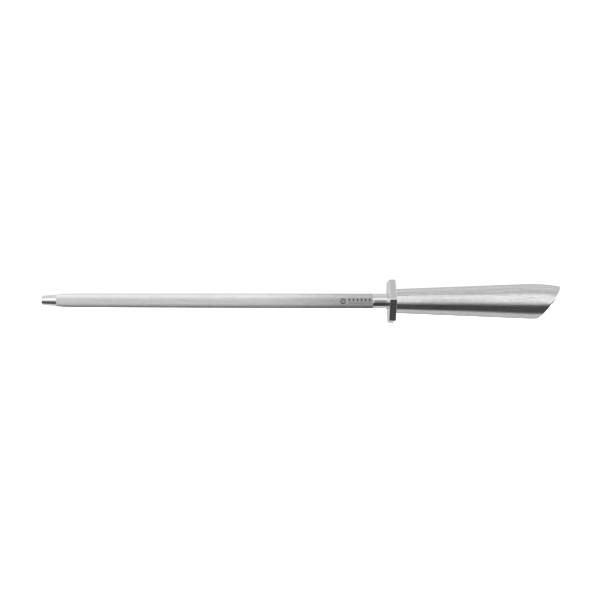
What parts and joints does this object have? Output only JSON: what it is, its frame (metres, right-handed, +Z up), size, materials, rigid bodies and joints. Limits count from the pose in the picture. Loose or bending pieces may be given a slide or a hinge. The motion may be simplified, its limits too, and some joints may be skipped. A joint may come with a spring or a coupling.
{
  "type": "knife sharpening steel",
  "caption": "Round fine-cut steel rod with a hexagonal finger guard and a tapered hollow steel handle cut off on a slant, for truing knife edges by hand.",
  "frame": {"origin": "on the rod's axis, in the plane of the guard's front face, which looks towards the tip", "axes": "X along the rod's axis, tip at -X and handle at +X; +Z up, the side on which the slanted handle is longest; +Y away from the viewer who has the tip on the left"},
  "size_m": [0.3742, 0.0342, 0.0312],
  "materials": {
    "rod_steel": "fine lengthwise cut, with polished tip and neck",
    "guard_steel": "brushed round the edge",
    "handle_steel": "satin, brushed lengthwise",
    "plug_steel": "turned",
    "fastener_steel": "plain",
    "seal_rubber": "matte"
  },
  "bodies": {
    "root": {"sharpening_rod": "rod_steel", "hex_guard": "guard_steel", "tang_seal": "seal_rubber", "handle_shell": "handle_steel", "front_plug": "plug_steel", "tang_washer": "fastener_steel", "spring_washer": "fastener_steel", "tang_nut": "fastener_steel", "end_cap": "handle_steel"}
  },
  "joints": []
}
